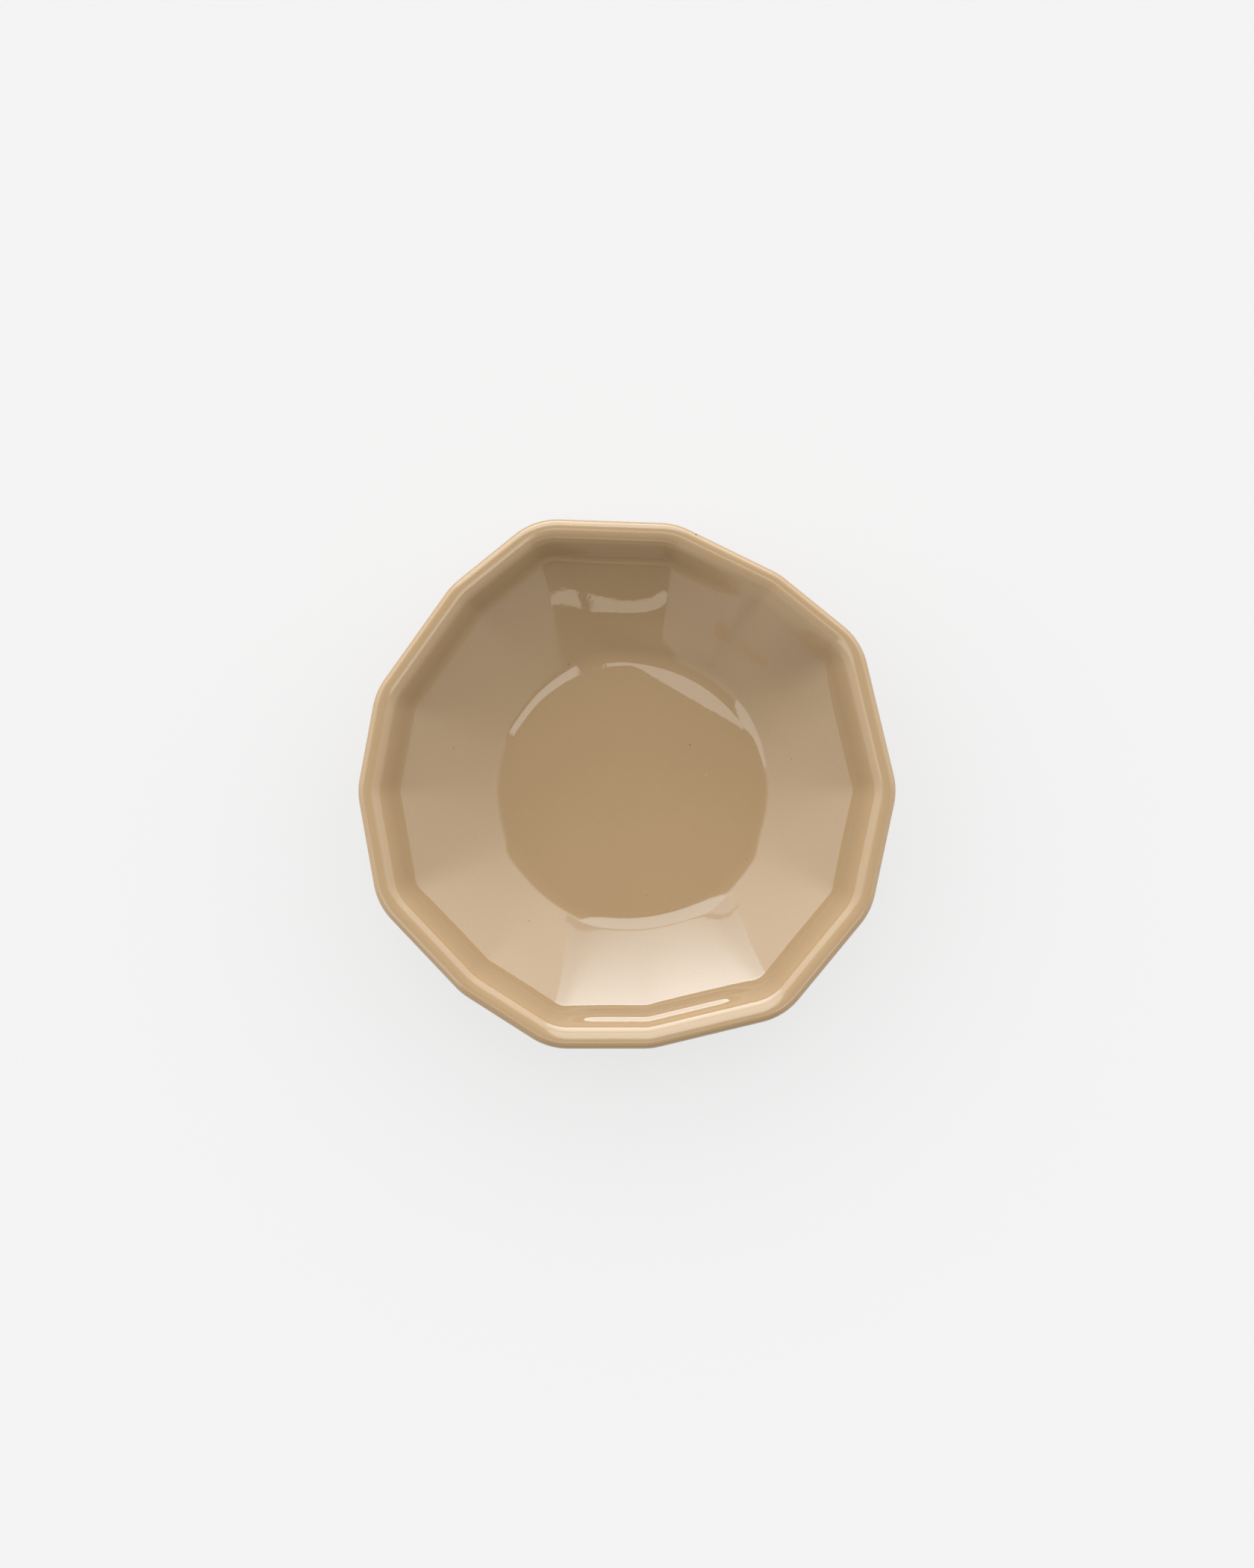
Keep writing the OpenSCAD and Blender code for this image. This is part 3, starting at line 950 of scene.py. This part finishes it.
def studio_world(stage):
    """An even soft light for the glaze's colour, and a studio of bright cards for its gloss to mirror."""
    world = bpy.data.worlds.new("pale_studio")
    world.use_nodes = True
    sheet = NodeSheet(world.node_tree)
    path = sheet.node("ShaderNodeLightPath")
    right, back, up = sheet.separated(sheet.node("ShaderNodeTexCoord")["Generated"])
    level = (1.0 - up * up).most(LEAST_LEVEL).math("SQRT")
    rise = up.math("ARCSINE").math("DEGREES")

    # Soft light
    behind = out_toward(right, back, SOFT_AZIMUTH)
    soft = 1.0 + behind.most(0.0) * SOFT_BACK + behind.least(0.0) * SOFT_FRONT
    soft = soft.most(0.0) * stage.soft_light

    # Mirrored walls all round, taller at the sides, with a dark flag in front
    facing = out_toward(right, back, WALL_AZIMUTH) / level
    beside = right.math("ABSOLUTE") / level
    overhead = (up - beside.ramped(*TALL_SIDES) * TALL_SIDES_RISE).ramped(*WALL_TOP)
    off_flag = aside_of(right, back, FLAG_AZIMUTH).math("DEGREES").math("ABSOLUTE")
    soft_edge = rise.ramped(*FLAG_SPREAD) * FLAG_SOFTENING + FLAG_EDGE
    flag = (FLAG_HALF_WIDTH - off_flag).ramped(0.0 - soft_edge, soft_edge)
    walls = facing.math("EXPONENT") * stage.room_light * (1.0 - overhead) * (1.0 - flag)
    mirrored = sheet.stretched(PLAIN, walls)

    # A panel leaning over the back of the dish, narrower towards its top
    panel = up.ramped(*PANEL_FOOT) * (1.0 - up.ramped(*PANEL_TOP))
    for side in (PANEL_AZIMUTH - PANEL_LEAN, PANEL_AZIMUTH + PANEL_LEAN):
        panel = panel * (out_toward(right, back, side) - up * PANEL_TAPER).ramped(*PANEL_EDGE)
    mirrored = sheet.mixed(panel, mirrored, Vector(COOL) * stage.panel_light, "Vector")
    for card in CARDS:
        mirrored = with_card(sheet, mirrored, card, right, back, rise)

    # Gloss mirrors the studio, and the camera sees the plain backdrop
    camera_sees = path["Is Camera Ray"].most(path["Is Transmission Ray"])
    light = sheet.mixed(path["Is Glossy Ray"], sheet.stretched(PLAIN, soft), mirrored, "Vector")
    light = sheet.mixed(camera_sees, light, stage.backdrop, "Vector")
    glow = sheet.node("ShaderNodeBackground", {}, {"Color": light, "Strength": 1.0})["Background"]
    sheet.node("ShaderNodeOutputWorld", {}, {"Surface": glow})
    return world


class DISH_OT_stage(bpy.types.Operator):
    """Sets the pale floor, the studio around and the camera"""

    bl_idname = "dish.stage"
    bl_label = "Stage"

    def execute(self, context):
        scene = context.scene
        stage = scene.dish_stage
        corners = [Vector((x, y, 0)) for x, y in ((-1, -1), (1, -1), (1, 1), (-1, 1))]
        mesh = bpy.data.meshes.new("floor")
        mesh.from_pydata([corner * FLOOR_HALF for corner in corners], [], [(0, 1, 2, 3)])
        mesh.materials.append(floor_finish(stage))
        floor = bpy.data.objects.new("floor", mesh)
        scene.collection.objects.link(floor)

        scene.world = studio_world(stage)

        # The sensor's width lies along the picture's longer side
        lens = bpy.data.cameras.new("camera")
        lens.sensor_width = SENSOR
        lens.lens = SENSOR * stage.view_distance * PICTURE[0] / PICTURE[1] / stage.view_width
        camera = bpy.data.objects.new("camera", lens)
        camera.matrix_world = Matrix.Translation((0, 0, CREST_Z + stage.view_distance))
        scene.collection.objects.link(camera)
        scene.camera = camera
        scene.view_settings.view_transform = "Standard"
        return {"FINISHED"}


OPERATORS = (DISH_OT_clay, DISH_OT_glaze, DISH_OT_stage)


class DISH_PT_sidebar(bpy.types.Panel):
    """Lists the dish's pieces and its sizes"""

    bl_idname = "DISH_PT_sidebar"
    bl_label = "Soy sauce dish"
    bl_space_type = "VIEW_3D"
    bl_region_type = "UI"
    bl_category = "Dish"

    def draw(self, context):
        for operator in OPERATORS:
            self.layout.operator(operator.bl_idname)
        for group in (context.scene.dish_shape, context.scene.dish_finish, context.scene.dish_stage):
            box = self.layout.box()
            for name in group.__annotations__:
                box.prop(group, name)


CLASSES = (DishShape, DishFinish, DishStage, *OPERATORS, DISH_PT_sidebar)


def register():
    for made in CLASSES:
        bpy.utils.register_class(made)
    bpy.types.Scene.dish_shape = PointerProperty(type=DishShape)
    bpy.types.Scene.dish_finish = PointerProperty(type=DishFinish)
    bpy.types.Scene.dish_stage = PointerProperty(type=DishStage)


def unregister():
    del bpy.types.Scene.dish_stage
    del bpy.types.Scene.dish_finish
    del bpy.types.Scene.dish_shape
    for made in reversed(CLASSES):
        bpy.utils.unregister_class(made)


def main():
    register()
    bpy.ops.dish.clay()
    bpy.ops.dish.glaze()
    bpy.ops.dish.stage()


if __name__ == "__main__":
    main()
